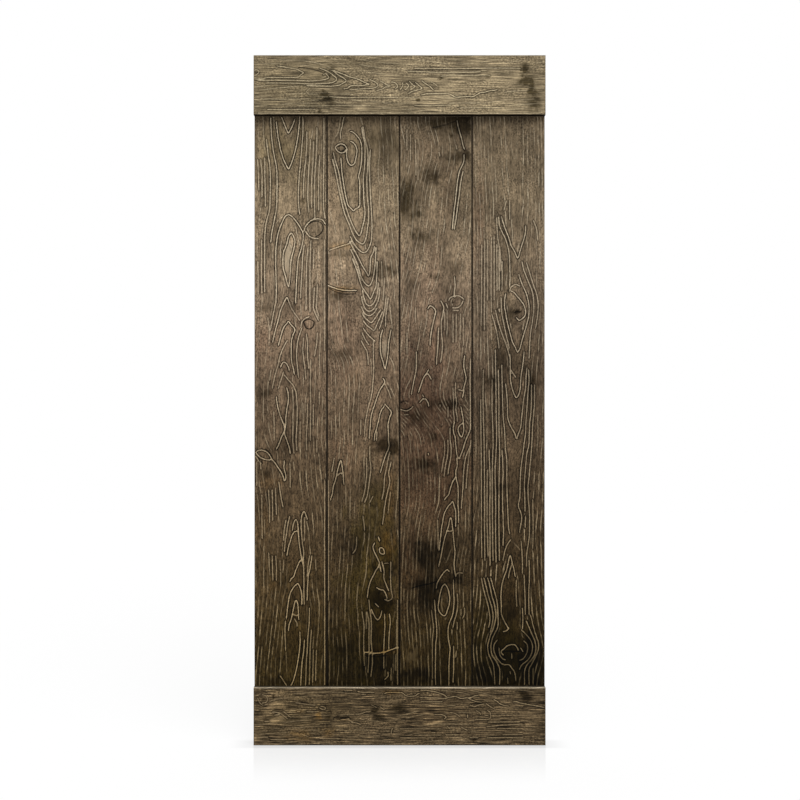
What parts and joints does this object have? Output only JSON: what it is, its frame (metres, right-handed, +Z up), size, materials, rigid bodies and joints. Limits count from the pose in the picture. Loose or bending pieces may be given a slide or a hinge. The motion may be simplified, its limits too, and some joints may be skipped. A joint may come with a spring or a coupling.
{
  "type": "barn door slab",
  "caption": "Flat ledged sliding-door slab of upright tongue-and-groove planks, with a top rail and a bottom rail screwed across their front.",
  "frame": {"origin": "middle of the top rail's front face, where the straps of a sliding hanger bolt on", "axes": "+X to the right seen from the front, -Y out of the front face, +Z up along the planks"},
  "size_m": [0.903, 0.038, 2.134],
  "materials": {
    "plank_wood": "embossed, dark stained",
    "rail_wood": "embossed, dark stained",
    "screw_steel": "black phosphate"
  },
  "bodies": {
    "root": {"plank_1": "plank_wood", "plank_2": "plank_wood", "plank_3": "plank_wood", "plank_4": "plank_wood", "top_rail": "rail_wood", "bottom_rail": "rail_wood", "screw_top_1a": "screw_steel", "screw_top_1b": "screw_steel", "screw_top_2a": "screw_steel", "screw_top_2b": "screw_steel", "screw_top_3a": "screw_steel", "screw_top_3b": "screw_steel", "screw_top_4a": "screw_steel", "screw_top_4b": "screw_steel", "screw_bottom_1a": "screw_steel", "screw_bottom_1b": "screw_steel", "screw_bottom_2a": "screw_steel", "screw_bottom_2b": "screw_steel", "screw_bottom_3a": "screw_steel", "screw_bottom_3b": "screw_steel", "screw_bottom_4a": "screw_steel", "screw_bottom_4b": "screw_steel"}
  },
  "joints": []
}
